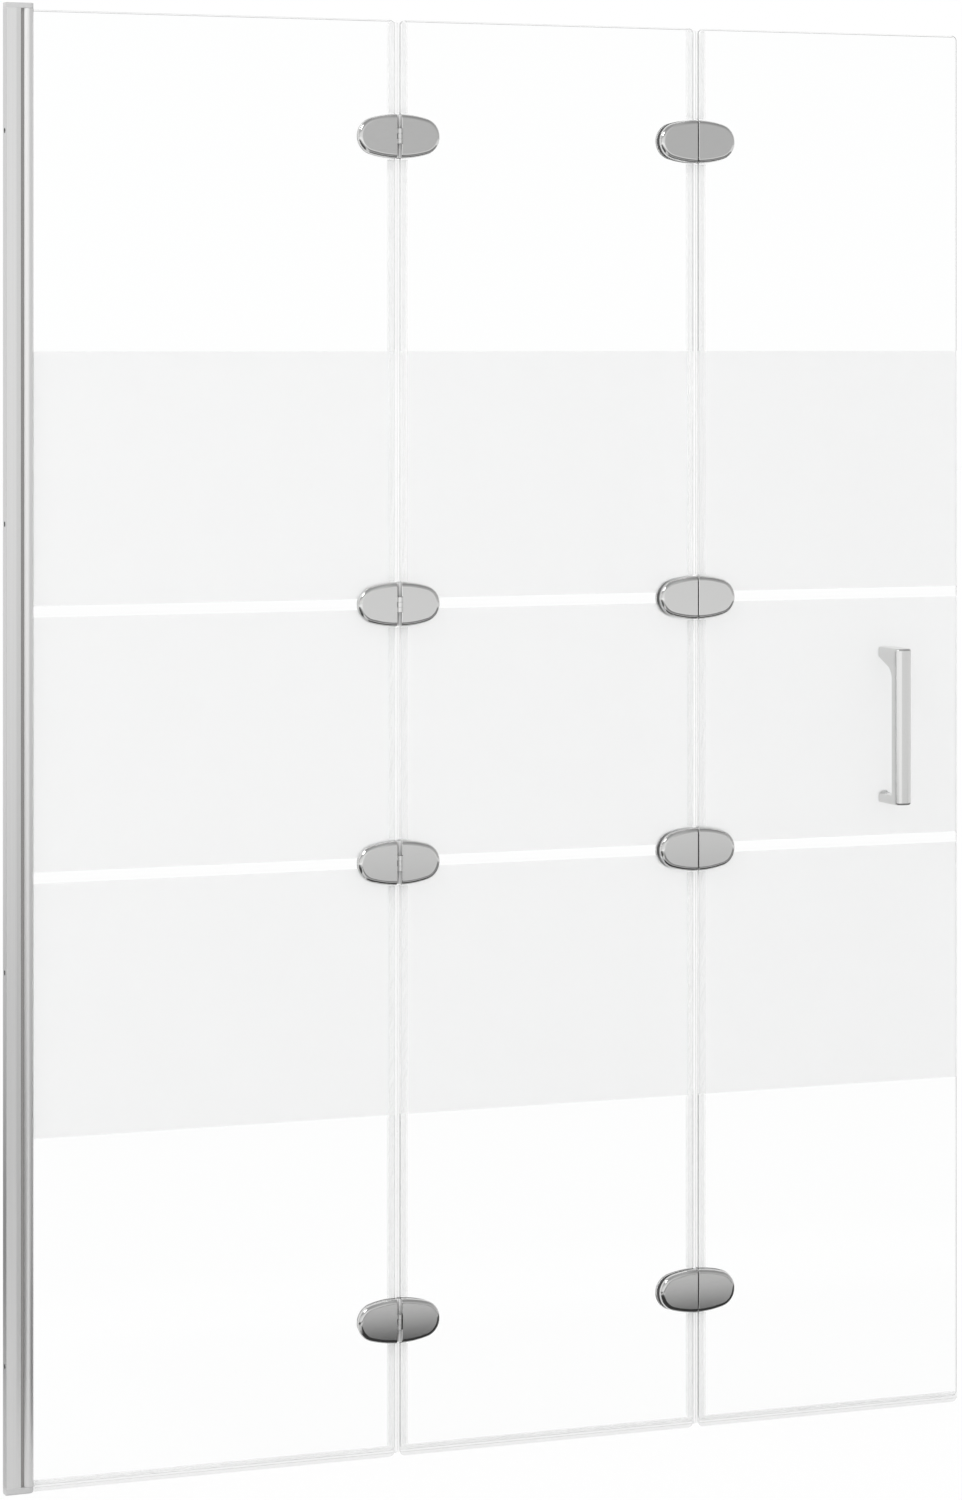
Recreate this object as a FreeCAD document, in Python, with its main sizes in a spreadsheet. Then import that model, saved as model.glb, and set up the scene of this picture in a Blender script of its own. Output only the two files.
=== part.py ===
import FreeCAD, Part
import os
import re

import Sketcher

# A three-panel folding shower screen of tempered glass. X runs along the screen from the wall,
# Y from the room to the bath, Z up. The origin is where the wall meets the bath rim.

# Driving sizes in millimetres, in the order in which the screen is put together
SIZES = {
    # Panels
    "wall_to_first_joint": 392.0,
    "first_to_second_joint": 316.5,
    "second_joint_to_edge": 290.5,
    "profile_height": 1397.0,
    "glass_thickness": 5.0,
    "glass_below_cap": 1.4,
    "glass_above_cap": 0.2,
    "glass_corner_radius": 5.0,
    "glass_chamfer": 1.2,
    "glass_setback": 3.0,
    # Wall channel
    "channel_width": 14.3,
    "channel_depth": 11.6,
    "channel_wall": 1.8,
    "channel_bevel_width": 4.4,
    "channel_bevel_drop": 0.5,
    "wall_hole_radius": 2.5,
    "wall_hole_from_end": 120.0,
    "wall_hole_inner_spacing": 420.0,
    "channel_seal_depth": 4.0,
    "channel_seal_clearance": 0.3,
    # Pivot post
    "post_radius": 6.0,
    "post_gap": 1.8,
    "spigot_radius": 4.5,
    "post_end_gap": 0.2,
    "glazing_depth": 8.0,
    "gasket_thickness": 0.6,
    # End caps
    "top_cap_height": 5.0,
    "bottom_cap_height": 6.4,
    "cap_floor": 1.5,
    "cap_end_radius": 5.6,
    "top_cap_edge_radius": 0.8,
    "bottom_cap_edge_radius": 2.0,
    "cap_plug_length": 9.0,
    "plug_clearance": 0.1,
    # Hinge plates, clamped on both faces of the glass
    "hinge_from_top": 118.8,
    "first_hinge_from_bottom": 132.0,
    "second_hinge_from_bottom": 136.6,
    "middle_hinge_spacing": 250.0,
    "middle_hinge_rise": 1.8,
    "hinge_length": 81.2,
    "hinge_height": 42.9,
    "hinge_end_radius": 18.3,
    "plate_thickness": 4.6,
    "rim_radius": 4.2,
    "split_bevel": 0.5,
    "plain_gap": 1.0,
    "knuckle_gap": 4.4,
    "pad_thickness": 1.0,
    "pad_inset": 0.6,
    # Hinge knuckles and pins
    "axis_proud": 0.4,
    "barrel_radius": 2.6,
    "barrel_clearance": 0.4,
    "knuckle_height": 4.6,
    "knuckle_play": 0.3,
    "web_drop": 0.8,
    "web_grip": 2.5,
    "pin_radius": 1.3,
    "running_clearance": 0.05,
    # Clamping screws
    "screw_radius": 2.0,
    "screw_head_radius": 3.6,
    "screw_head_inset": 0.2,
    "screw_socket_radius": 1.6,
    "screw_socket_depth": 1.6,
    "screw_tip_gap": 0.5,
    "thread_depth": 3.0,
    "hinge_screw_setback": 20.0,
    "hinge_screw_spacing": 18.0,
    "glass_hole_radius": 5.0,
    # Seals on the glass edges
    "seal_wall": 0.8,
    "edge_seal_leg": 6.8,
    "edge_seal_gap": 0.8,
    "edge_seal_nose": 3.0,
    "edge_seal_top_drop": 2.0,
    "seal_hinge_gap": 1.0,
    "seal_corner_gap": 0.5,
    "bottom_seal_leg": 4.2,
    "bottom_seal_base": 2.2,
    "drip_fin_gap": 0.2,
    "drip_fin_thickness": 1.2,
    "drip_fin_lean": 0.8,
    "joint_corner_radius": 5.0,
    "free_corner_radius": 3.5,
    "seal_post_gap": 0.6,
    # Handle
    "handle_from_edge": 80.0,
    "handle_below_middle": 5.6,
    "handle_length": 157.0,
    "handle_hole_from_end": 5.6,
    "handle_projection": 41.0,
    "handle_width": 18.6,
    "handle_bar_depth": 13.0,
    "handle_upper_foot_height": 11.0,
    "handle_lower_foot_height": 9.0,
    "handle_flare": 11.5,
    "handle_flare_radius": 14.0,
    "handle_lower_radius": 2.5,
    "handle_front_radius": 7.5,
    "handle_inner_edge_radius": 2.0,
    "handle_end_radius": 2.2,
    "handle_thread_depth": 12.0,
    "handle_pad_thickness": 0.8,
    "washer_radius": 5.6,
    "washer_thickness": 3.5,
    "washer_edge_radius": 1.0,
    # Cuts run this far past the solid
    "overrun": 2.0,
}

# Places worked out from the driving sizes
FIRST_JOINT = "wall_to_first_joint"
SECOND_JOINT = "(wall_to_first_joint + first_to_second_joint)"
FREE_EDGE = "(wall_to_first_joint + first_to_second_joint + second_joint_to_edge)"
HALF_GLASS = "(glass_thickness / 2)"
GLASS_FOOT = "(bottom_cap_height + glass_above_cap)"
GLASS_TOP = "(profile_height - top_cap_height - glass_below_cap)"
POST_X = "(channel_width + post_gap + post_radius)"
GROOVE_HALF = "(glass_thickness / 2 + gasket_thickness)"
GROOVE_MOUTH = f"({POST_X} + sqrt(post_radius^2 - {GROOVE_HALF}^2))"
GLASS_START = f"({POST_X} + post_radius - glazing_depth)"
PLATE_SEAT = f"({HALF_GLASS} + pad_thickness)"
PLATE_FACE = f"({PLATE_SEAT} + plate_thickness)"
PIVOT_OFFSET = f"({PLATE_FACE} + axis_proud)"
# The hinge's oval has two end arcs and two long arcs that touch them
OVAL_END = "(hinge_length / 2 - hinge_end_radius)"
OVAL_SLACK = "(hinge_height - 2 * hinge_end_radius)"
OVAL_RADIUS = f"(({OVAL_END}^2 + (hinge_height / 2)^2 - hinge_end_radius^2) / {OVAL_SLACK})"
OVAL_SINK = f"({OVAL_RADIUS} - hinge_height / 2)"
OVAL_REACH = f"({OVAL_RADIUS} - hinge_end_radius)"
PIN_LENGTH = "(3 * knuckle_height + 2 * knuckle_play)"
COUNTERSINK = "(screw_head_radius - screw_radius + screw_head_inset)"
HANDLE_X = f"({FREE_EDGE} - handle_from_edge)"
HANDLE_Z = "(profile_height / 2 - handle_below_middle)"
HANDLE_SEAT = f"({HALF_GLASS} + handle_pad_thickness)"

JOINTS = {"first": FIRST_JOINT, "second": SECOND_JOINT}
MIDDLE = "profile_height / 2 + middle_hinge_rise"
# The lowest hinge of the second joint sits a little higher than that of the first
LEVELS = {
    joint: {
        "bottom": f"{joint}_hinge_from_bottom",
        "lower": f"({MIDDLE} - middle_hinge_spacing / 2)",
        "upper": f"({MIDDLE} + middle_hinge_spacing / 2)",
        "top": "(profile_height - hinge_from_top)",
    }
    for joint in JOINTS
}
HANDS = {"left": -1, "right": 1}
FACES = {"front": -1, "back": 1}
# The first joint folds to the room, so its knuckles are in front, and the second folds to the bath
KNUCKLE_FACE = {"first": "front", "second": "back"}

doc = FreeCAD.newDocument("folding_shower_screen")
sheet = doc.addObject("Spreadsheet::Sheet", "Sizes")
for row, (alias, size) in enumerate(SIZES.items(), start=1):
    sheet.set(f"A{row}", alias)
    sheet.set(f"B{row}", str(size))
    sheet.setAlias(f"B{row}", alias)
doc.recompute()

nodes = {}
# Two places nearer than this share of a small size count as one
same_place_share = 0.001


# Expressions and sketches

def bound(expression):
    """The expression with every named size read from the sheet."""
    return re.sub(
        r"[a-z]\w*",
        lambda word: f"Sizes.{word[0]}" if word[0] in SIZES else word[0],
        expression,
    )


def value(expression):
    return float(sheet.evalExpression(expression))


def point(x, y):
    return FreeCAD.Vector(value(x), value(y), 0)


def new_body(label):
    body = doc.addObject("PartDesign::Body", label)
    body.Label = label
    return body


def new_sketch(body, plane, lift="0"):
    """A sketch on one of the body's own planes, lifted along the plane's normal."""
    sketch = body.newObject("Sketcher::SketchObject", f"{body.Label}_sketch")
    support = next(f for f in body.Origin.OriginFeatures if f.Role == plane)
    sketch.AttachmentSupport = [(support, "")]
    sketch.MapMode = "FlatFace"
    if lift != "0":
        sketch.setExpression("AttachmentOffset.Base.z", bound(lift))
    return sketch


def drive(sketch, kind, *places, size):
    """A dimension of the sketch, bound to its expression unless it is zero."""
    index = sketch.addConstraint(Sketcher.Constraint(kind, *places, value(size)))
    if size != "0":
        sketch.setExpression(f"Constraints[{index}]", bound(size))


def draw_outline(sketch, corners):
    """A closed outline through (x, y) corners. A corner with a third item (x, y, turn) starts an
    arc about that centre, which runs anticlockwise for a turn of 1 and clockwise for -1."""
    ends = []
    first = sketch.GeometryCount
    for here, after in zip(corners, corners[1:] + corners[:1]):
        start, stop = point(*here[:2]), point(*after[:2])
        if len(here) == 2:
            sketch.addGeometry(Part.LineSegment(start, stop))
            ends.append((1, 2))
            continue
        centre = point(*here[2][:2])
        if here[2][2] < 0:
            start, stop = stop, start
        circle = Part.Circle(centre, FreeCAD.Vector(0, 0, 1), (start - centre).Length)
        sketch.addGeometry(Part.ArcOfCircle(circle, circle.parameter(start), circle.parameter(stop)))
        ends.append((1, 2) if here[2][2] > 0 else (2, 1))
    count = len(corners)
    for index, here in enumerate(corners):
        piece, after = first + index, first + (index + 1) % count
        sketch.addConstraint(
            Sketcher.Constraint("Coincident", piece, ends[index][1], after, ends[(index + 1) % count][0])
        )
        drive(sketch, "DistanceX", -1, 1, piece, ends[index][0], size=here[0])
        drive(sketch, "DistanceY", -1, 1, piece, ends[index][0], size=here[1])
        if len(here) == 3:
            chord = point(*corners[(index + 1) % count][:2]) - point(*here[:2])
            axis = 0 if abs(chord.y) >= abs(chord.x) else 1
            drive(sketch, ("DistanceX", "DistanceY")[axis], -1, 1, piece, 3, size=here[2][axis])


def draw_rectangle(sketch, left, low, right, high):
    draw_outline(sketch, [(left, low), (right, low), (right, high), (left, high)])


def draw_circle(sketch, x, y, radius):
    index = sketch.addGeometry(Part.Circle(point(x, y), FreeCAD.Vector(0, 0, 1), value(radius)))
    drive(sketch, "DistanceX", -1, 1, index, 3, size=x)
    drive(sketch, "DistanceY", -1, 1, index, 3, size=y)
    drive(sketch, "Radius", index, size=radius)


def draw_half_oval(sketch, side, shift, edge, inset="0"):
    """Half of the hinge's oval on one side of the joint. The oval is moved out by the shift and drawn
    in by the inset, and the half is cut straight at the edge's distance from the joint."""
    radius = f"({OVAL_RADIUS} - {inset})"
    end_radius = f"(hinge_end_radius - {inset})"
    touch_x = f"{side} * ({shift} + {OVAL_END} * (1 + {end_radius} / {OVAL_REACH}))"
    touch_z = f"({end_radius} * {OVAL_SINK} / {OVAL_REACH})"
    cut_x = f"{side} * {edge}"
    cut_z = f"(sqrt({radius}^2 - ({edge} - {shift})^2) - {OVAL_SINK})"
    end_x = f"{side} * ({shift} + {OVAL_END})"
    middle_x = f"{side} * {shift}"
    draw_outline(
        sketch,
        [
            (cut_x, f"-{cut_z}", (middle_x, OVAL_SINK, side)),
            (touch_x, f"-{touch_z}", (end_x, "0", side)),
            (touch_x, touch_z, (middle_x, f"-{OVAL_SINK}", side)),
            (cut_x, cut_z),
        ],
    )


def draw_hexagon(sketch, radius):
    half, rise = f"{radius} / 2", f"{radius} * sqrt(3) / 2"
    draw_outline(
        sketch,
        [
            (radius, "0"),
            (half, rise),
            (f"-{half}", rise),
            (f"-{radius}", "0"),
            (f"-{half}", f"-{rise}"),
            (half, f"-{rise}"),
        ],
    )


# Features

def pad(body, sketch, length, reverse=False):
    feature = body.newObject("PartDesign::Pad", f"{body.Label}_pad")
    feature.Profile = sketch
    feature.Reversed = reverse
    feature.setExpression("Length", bound(length))
    doc.recompute()
    return feature


def pocket(body, sketch, length=None, reverse=False):
    """A cut against the sketch's normal, or along it if reversed, to a depth or right through."""
    feature = body.newObject("PartDesign::Pocket", f"{body.Label}_pocket")
    feature.Profile = sketch
    feature.Reversed = reverse
    if length is None:
        feature.Type = "ThroughAll"
    else:
        feature.setExpression("Length", bound(length))
    before = feature.BaseFeature.Shape.Volume
    doc.recompute()
    if not feature.Shape.Volume < before:
        raise RuntimeError(f"{feature.Name} cuts nothing")
    return feature


def edge_names(feature, wanted):
    return [f"Edge{i}" for i, edge in enumerate(feature.Shape.Edges, start=1) if wanted(edge)]


def dress(body, kind, size_name, size, wanted):
    """A fillet or chamfer on those edges of the body's last feature that are wanted."""
    base = body.Tip
    feature = body.newObject(f"PartDesign::{kind}", f"{body.Label}_{kind.lower()}")
    feature.Base = (base, edge_names(base, wanted))
    feature.setExpression(size_name, bound(size))
    doc.recompute()
    return feature


def fillet(body, radius, wanted):
    return dress(body, "Fillet", "Radius", radius, wanted)


def chamfer(body, size, wanted):
    return dress(body, "Chamfer", "Size", size, wanted)


def lies_at(axis, expression):
    """Picks the edges that lie wholly in the plane at that place along X, Y or Z."""
    place = value(expression)

    def wanted(edge):
        box = edge.BoundBox
        low, high = getattr(box, f"{axis}Min"), getattr(box, f"{axis}Max")
        return max(abs(low - place), abs(high - place)) < value("overrun") * same_place_share

    return wanted


def put(master, label, x="0", y="0", z="0"):
    """One more of the master piece, at its own place."""
    link = doc.addObject("App::Link", label)
    link.LinkedObject = master
    link.Label = label
    for axis, place in zip("xyz", (x, y, z)):
        if place != "0":
            link.setExpression(f"LinkPlacement.Base.{axis}", bound(place))
    return link


def group(label, members):
    """Like pieces that share one node, each still a solid of its own."""
    compound = doc.addObject("Part::Compound", label)
    compound.Label = label
    compound.Links = members
    nodes[label] = compound


def keep(piece):
    nodes[piece.Label] = piece
    return piece


# Wall channel: an open aluminium extrusion with screw holes along its back

def wall_channel():
    body = keep(new_body("wall_channel"))
    half = "channel_depth / 2"
    inner = "(channel_depth / 2 - channel_wall)"
    bevel_start = "channel_width - channel_bevel_width"
    bevel_end = f"({half} - channel_bevel_drop)"
    sketch = new_sketch(body, "XY_Plane", "bottom_cap_height")
    draw_outline(
        sketch,
        [
            ("0", f"-{half}"),
            (bevel_start, f"-{half}"),
            ("channel_width", f"-{bevel_end}"),
            ("channel_width", f"-{inner}"),
            ("channel_wall", f"-{inner}"),
            ("channel_wall", inner),
            ("channel_width", inner),
            ("channel_width", bevel_end),
            (bevel_start, half),
            ("0", half),
        ],
    )
    pad(body, sketch, "profile_height - bottom_cap_height - top_cap_height")
    holes = new_sketch(body, "YZ_Plane")
    middle = "profile_height / 2"
    for height in (
        "wall_hole_from_end",
        f"{middle} - wall_hole_inner_spacing / 2",
        f"{middle} + wall_hole_inner_spacing / 2",
        "profile_height - wall_hole_from_end",
    ):
        draw_circle(holes, "0", height, "wall_hole_radius")
    pocket(body, holes, "channel_wall", reverse=True)


# Channel seal: a soft strip that closes the mouth of the channel and hugs the round post

def channel_seal():
    body = keep(new_body("channel_seal"))
    half = "(channel_depth / 2 - channel_wall)"
    back = "channel_width - channel_seal_depth"
    lip = f"{POST_X} - sqrt((post_radius + channel_seal_clearance)^2 - {half}^2)"
    sketch = new_sketch(body, "XY_Plane", "bottom_cap_height")
    draw_outline(
        sketch,
        [
            (back, f"-{half}"),
            (lip, f"-{half}", (POST_X, "0", -1)),
            (lip, half),
            (back, half),
        ],
    )
    pad(body, sketch, "profile_height - bottom_cap_height - top_cap_height")


# End caps: each closes the channel with a plug and holds one end of the post in a round cup

def end_cap(label, height, foot, edge_radius, at_top):
    body = keep(new_body(label))
    half = "(channel_depth / 2)"
    shoulder = "(channel_width - channel_bevel_width)"
    # Each side runs from the channel's shoulder to where it touches the round end
    run = f"({POST_X} - {shoulder})"
    span = f"({run}^2 + {half}^2)"
    lever = f"sqrt({span} - cap_end_radius^2)"
    touch_x = f"({POST_X} + cap_end_radius * ({half} * {lever} - {run} * cap_end_radius) / {span})"
    touch_y = f"(cap_end_radius * ({half} * cap_end_radius + {run} * {lever}) / {span})"
    sketch = new_sketch(body, "XY_Plane", foot)
    draw_outline(
        sketch,
        [
            ("0", f"-{half}"),
            (shoulder, f"-{half}"),
            (touch_x, f"-{touch_y}", (POST_X, "0", 1)),
            (touch_x, touch_y),
            (shoulder, half),
            ("0", half),
        ],
    )
    pad(body, sketch, height)
    outer = f"{foot} + {height}" if at_top else foot
    on_outer = lies_at("Z", outer)
    at_wall = lies_at("X", "0")
    fillet(body, edge_radius, lambda edge: on_outer(edge) and not at_wall(edge))
    inner = foot if at_top else f"{foot} + {height}"
    cup = new_sketch(body, "XY_Plane", inner)
    draw_circle(cup, POST_X, "0", "spigot_radius + running_clearance")
    pocket(body, cup, f"{height} - cap_floor", reverse=at_top)
    plug = new_sketch(body, "XY_Plane", inner)
    plug_half = "(channel_depth / 2 - channel_wall - plug_clearance)"
    draw_rectangle(
        plug,
        "channel_wall + plug_clearance",
        f"-{plug_half}",
        "channel_width - channel_seal_depth - plug_clearance",
        plug_half,
    )
    pad(body, plug, "cap_plug_length", reverse=at_top)


# Pivot post: a round aluminium bar grooved along its length for the glass. Its ends are turned down to
# spigots that turn in the caps.

def pivot_post():
    body = keep(new_body("pivot_post"))
    floor = f"({GLASS_START} - gasket_thickness)"
    low = "(bottom_cap_height + post_end_gap)"
    high = "(profile_height - top_cap_height - post_end_gap)"
    sketch = new_sketch(body, "XY_Plane", low)
    draw_outline(
        sketch,
        [
            (GROOVE_MOUTH, GROOVE_HALF, (POST_X, "0", 1)),
            (GROOVE_MOUTH, f"-{GROOVE_HALF}"),
            (floor, f"-{GROOVE_HALF}"),
            (floor, GROOVE_HALF),
        ],
    )
    pad(body, sketch, f"{high} - {low}")
    for end, height in ((low, "bottom_cap_height"), (high, "top_cap_height")):
        spigot = new_sketch(body, "XY_Plane", end)
        draw_circle(spigot, POST_X, "0", "spigot_radius")
        pad(body, spigot, f"{height} - cap_floor", reverse=end == low)


def glazing_gasket():
    body = keep(new_body("glazing_gasket"))
    floor = f"({GLASS_START} - gasket_thickness)"
    sketch = new_sketch(body, "XY_Plane", GLASS_FOOT)
    draw_outline(
        sketch,
        [
            (floor, f"-{GROOVE_HALF}"),
            (GROOVE_MOUTH, f"-{GROOVE_HALF}"),
            (GROOVE_MOUTH, f"-{HALF_GLASS}"),
            (GLASS_START, f"-{HALF_GLASS}"),
            (GLASS_START, HALF_GLASS),
            (GROOVE_MOUTH, HALF_GLASS),
            (GROOVE_MOUTH, GROOVE_HALF),
            (floor, GROOVE_HALF),
        ],
    )
    pad(body, sketch, f"{GLASS_TOP} - {GLASS_FOOT}")


# Glass panels: tempered sheets with ground edges, drilled for the hinges and the handle

def hinge_holes(joint, hand):
    """Places of a hinge leaf's screws, as (x, z), at all four levels of a joint."""
    across = f"{JOINTS[joint]} + {HANDS[hand]} * hinge_screw_setback"
    return [
        (across, f"{level} + {end} * hinge_screw_spacing / 2")
        for level in LEVELS[joint].values()
        for end in (-1, 1)
    ]


def handle_holes():
    reach = "(handle_length / 2 - handle_hole_from_end)"
    return [(HANDLE_X, f"{HANDLE_Z} + {end} * {reach}") for end in (-1, 1)]


def glass_panel(label, left, right, holes):
    body = keep(new_body(label))
    sketch = new_sketch(body, "XZ_Plane", f"-{HALF_GLASS}")
    corner = "glass_corner_radius"
    low, high = GLASS_FOOT, GLASS_TOP
    inner_left, inner_right = f"{left} + {corner}", f"{right} - {corner}"
    inner_low, inner_high = f"{low} + {corner}", f"{high} - {corner}"
    draw_outline(
        sketch,
        [
            (inner_left, low),
            (inner_right, low, (inner_right, inner_low, 1)),
            (right, inner_low),
            (right, inner_high, (inner_right, inner_high, 1)),
            (inner_right, high),
            (inner_left, high, (inner_left, inner_high, 1)),
            (left, inner_high),
            (left, inner_low, (inner_left, inner_low, 1)),
        ],
    )
    pad(body, sketch, "glass_thickness")
    in_front, behind = lies_at("Y", f"-{HALF_GLASS}"), lies_at("Y", HALF_GLASS)
    chamfer(body, "glass_chamfer", lambda edge: in_front(edge) or behind(edge))
    drilled = new_sketch(body, "XZ_Plane", HALF_GLASS)
    for x, z in holes:
        draw_circle(drilled, x, z, "glass_hole_radius")
    pocket(body, drilled)


# Seals: clear clips pushed over the bottom edges and over the edges beside the joints

def bottom_seal(label, left, right, corners):
    """A clip over a bottom edge, with a leaning fin under it. Its lower corners are rounded where
    a radius is given."""
    body = keep(new_body(label))
    outer = f"({HALF_GLASS} + seal_wall)"
    edge = GLASS_FOOT
    base = f"({edge} - bottom_seal_base)"
    tip = "drip_fin_gap"
    leg_top = f"({edge} + bottom_seal_leg)"
    fin = "drip_fin_thickness / 2"
    sketch = new_sketch(body, "YZ_Plane", left)
    draw_outline(
        sketch,
        [
            (f"-{outer}", base),
            (f"-{fin}", base),
            (f"drip_fin_lean - {fin}", tip),
            (f"drip_fin_lean + {fin}", tip),
            (fin, base),
            (outer, base),
            (outer, leg_top),
            (HALF_GLASS, leg_top),
            (HALF_GLASS, edge),
            (f"-{HALF_GLASS}", edge),
            (f"-{HALF_GLASS}", leg_top),
            (f"-{outer}", leg_top),
        ],
    )
    pad(body, sketch, f"{right} - {left}")
    for hand, radius in corners.items():
        end = {"left": left, "right": right}[hand]
        side = HANDS[hand]
        centre_x = f"{end} - {side} * {radius}"
        centre_z = f"{tip} + {radius}"
        past = f"{end} + {side} * overrun"
        corner = new_sketch(body, "XZ_Plane", outer)
        draw_outline(
            corner,
            [
                (centre_x, tip, (centre_x, centre_z, side)),
                (end, centre_z),
                (past, centre_z),
                (past, f"{tip} - overrun"),
                (centre_x, f"{tip} - overrun"),
            ],
        )
        pocket(body, corner)


def edge_seal(label, joint, hand):
    """A clip on the glass edge beside a joint, in lengths that stop short of the hinges. The nose of
    the lowest one runs on down past the end of the bottom seal."""
    side = HANDS[hand]
    outer = f"({HALF_GLASS} + seal_wall)"
    nose_half = "edge_seal_nose / 2"
    nose = f"{JOINTS[joint]} + {side} * edge_seal_gap / 2"
    edge = f"{JOINTS[joint]} + {side} * glass_setback"
    back = f"{JOINTS[joint]} + {side} * (glass_setback + edge_seal_leg)"
    clear = "(hinge_height / 2 + seal_hinge_gap)"
    starts = [f"{GLASS_FOOT} + bottom_seal_leg + seal_corner_gap"]
    starts += [f"{level} + {clear}" for level in LEVELS[joint].values()]
    stops = [f"{level} - {clear}" for level in LEVELS[joint].values()]
    stops += [f"{GLASS_TOP} - edge_seal_top_drop"]
    lengths = []
    for number, (low, high) in enumerate(zip(starts, stops), start=1):
        body = new_body(f"{label}_length_{number}")
        sketch = new_sketch(body, "XY_Plane", low)
        draw_outline(
            sketch,
            [
                (back, f"-{outer}"),
                (edge, f"-{outer}"),
                (nose, f"-{nose_half}"),
                (nose, nose_half),
                (edge, outer),
                (back, outer),
                (back, HALF_GLASS),
                (edge, HALF_GLASS),
                (edge, f"-{HALF_GLASS}"),
                (back, f"-{HALF_GLASS}"),
            ],
        )
        pad(body, sketch, f"({high}) - ({low})")
        lengths.append(body)
    foot = f"({GLASS_FOOT} - bottom_seal_base)"
    sketch = new_sketch(lengths[0], "XY_Plane", foot)
    draw_outline(
        sketch,
        [(edge, f"-{outer}"), (nose, f"-{nose_half}"), (nose, nose_half), (edge, outer)],
    )
    pad(lengths[0], sketch, f"({starts[0]}) - {foot}")
    group(label, lengths)


# Hinge plates: oval halves that clamp the glass. Those on the knuckle side carry the barrels.

def half_place(knuckled):
    """How far a half is moved out from the joint, and where its straight edge lies."""
    if knuckled:
        return "((knuckle_gap - plain_gap) / 2)", "(knuckle_gap / 2)"
    return "0", "(plain_gap / 2)"


def screw_holes(body, side, lift, radius, depth=None, reverse=False):
    sketch = new_sketch(body, "XZ_Plane", lift)
    for end in (-1, 1):
        across = f"{side} * hinge_screw_setback"
        draw_circle(sketch, across, f"{end} * hinge_screw_spacing / 2", radius)
    return pocket(body, sketch, depth, reverse)


def hinge_knuckles(body, side, face):
    """A seat for the barrels, then this leaf's own: the left leaf has the outer two, the right
    leaf the middle one."""
    axis_y = f"{face} * {PIVOT_OFFSET}"
    seat_height = f"({PIN_LENGTH} + 2 * barrel_clearance)"
    seat = new_sketch(body, "XY_Plane", f"{seat_height} / 2")
    draw_circle(seat, "0", axis_y, "barrel_radius + barrel_clearance")
    pocket(body, seat, seat_height)

    # The web leaves the barrel below the plate's face and runs into the plate
    inward = -face
    root_y = f"{axis_y} + {inward} * barrel_radius"
    web_y = f"{axis_y} + {inward} * web_drop"
    web_x = f"{side} * sqrt(barrel_radius^2 - web_drop^2)"
    reach = f"{side} * (barrel_radius + barrel_clearance + web_grip)"
    step = "(knuckle_height + knuckle_play)"
    lows = [f"-{step} - knuckle_height / 2", f"{step} - knuckle_height / 2"]
    if side > 0:
        lows = ["-knuckle_height / 2"]
    for low in lows:
        sketch = new_sketch(body, "XY_Plane", low)
        draw_outline(
            sketch,
            [
                ("0", root_y, ("0", axis_y, -side * face)),
                (web_x, web_y),
                (reach, web_y),
                (reach, root_y),
            ],
        )
        pad(body, sketch, "knuckle_height")
    bore = new_sketch(body, "XY_Plane", f"{seat_height} / 2")
    draw_circle(bore, "0", axis_y, "pin_radius + running_clearance")
    pocket(body, bore, seat_height)


def hinge_plate(label, side, face, knuckled):
    """One oval half about its hinge's centre, with blind screw holes in front or countersunk
    holes through the back."""
    body = new_body(label)
    sketch = new_sketch(body, "XZ_Plane", f"{-face} * {PLATE_SEAT}")
    draw_half_oval(sketch, side, *half_place(knuckled))
    pad(body, sketch, "plate_thickness", reverse=face > 0)
    on_face = lies_at("Y", f"{face} * {PLATE_FACE}")
    bevel = value("split_bevel")
    fillet(body, "rim_radius", lambda edge: on_face(edge) and edge.BoundBox.XLength > bevel)
    chamfer(body, "split_bevel", lambda edge: on_face(edge) and edge.BoundBox.XLength < bevel)
    hole = "screw_radius + running_clearance"
    if face < 0:
        screw_holes(body, side, PLATE_SEAT, hole, "thread_depth", reverse=True)
    else:
        screw_holes(body, side, "0", hole)
        chamfer(body, COUNTERSINK, lambda edge: on_face(edge) and edge.Closed)
    if knuckled:
        hinge_knuckles(body, side, face)
    return body


def hinge_pad(label, side, knuckled):
    """A soft pad between one oval half and the glass, its glass face at the origin. It reaches
    in over the edge of the glass to the joint."""
    body = new_body(label)
    sketch = new_sketch(body, "XZ_Plane")
    shift, _ = half_place(knuckled)
    draw_half_oval(sketch, side, shift, "(edge_seal_gap / 2)", "pad_inset")
    pad(body, sketch, "pad_thickness", reverse=True)
    screw_holes(body, side, "0", "glass_hole_radius")
    return body


def countersunk_screw(label, tip, head):
    """A socket screw along Y, from its tip in front to the face of its head behind."""
    body = new_body(label)
    sketch = new_sketch(body, "XY_Plane")
    neck = f"{head} - (screw_head_radius - screw_radius)"
    draw_outline(
        sketch,
        [
            ("0", tip),
            ("screw_radius", tip),
            ("screw_radius", neck),
            ("screw_head_radius", head),
            ("0", head),
        ],
    )
    turned = body.newObject("PartDesign::Revolution", f"{label}_turned")
    turned.Profile = sketch
    turned.ReferenceAxis = (sketch, ["V_Axis"])
    doc.recompute()
    socket = new_sketch(body, "XZ_Plane", f"-({head})")
    draw_hexagon(socket, "screw_socket_radius")
    pocket(body, socket, "screw_socket_depth", reverse=True)
    return body


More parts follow.
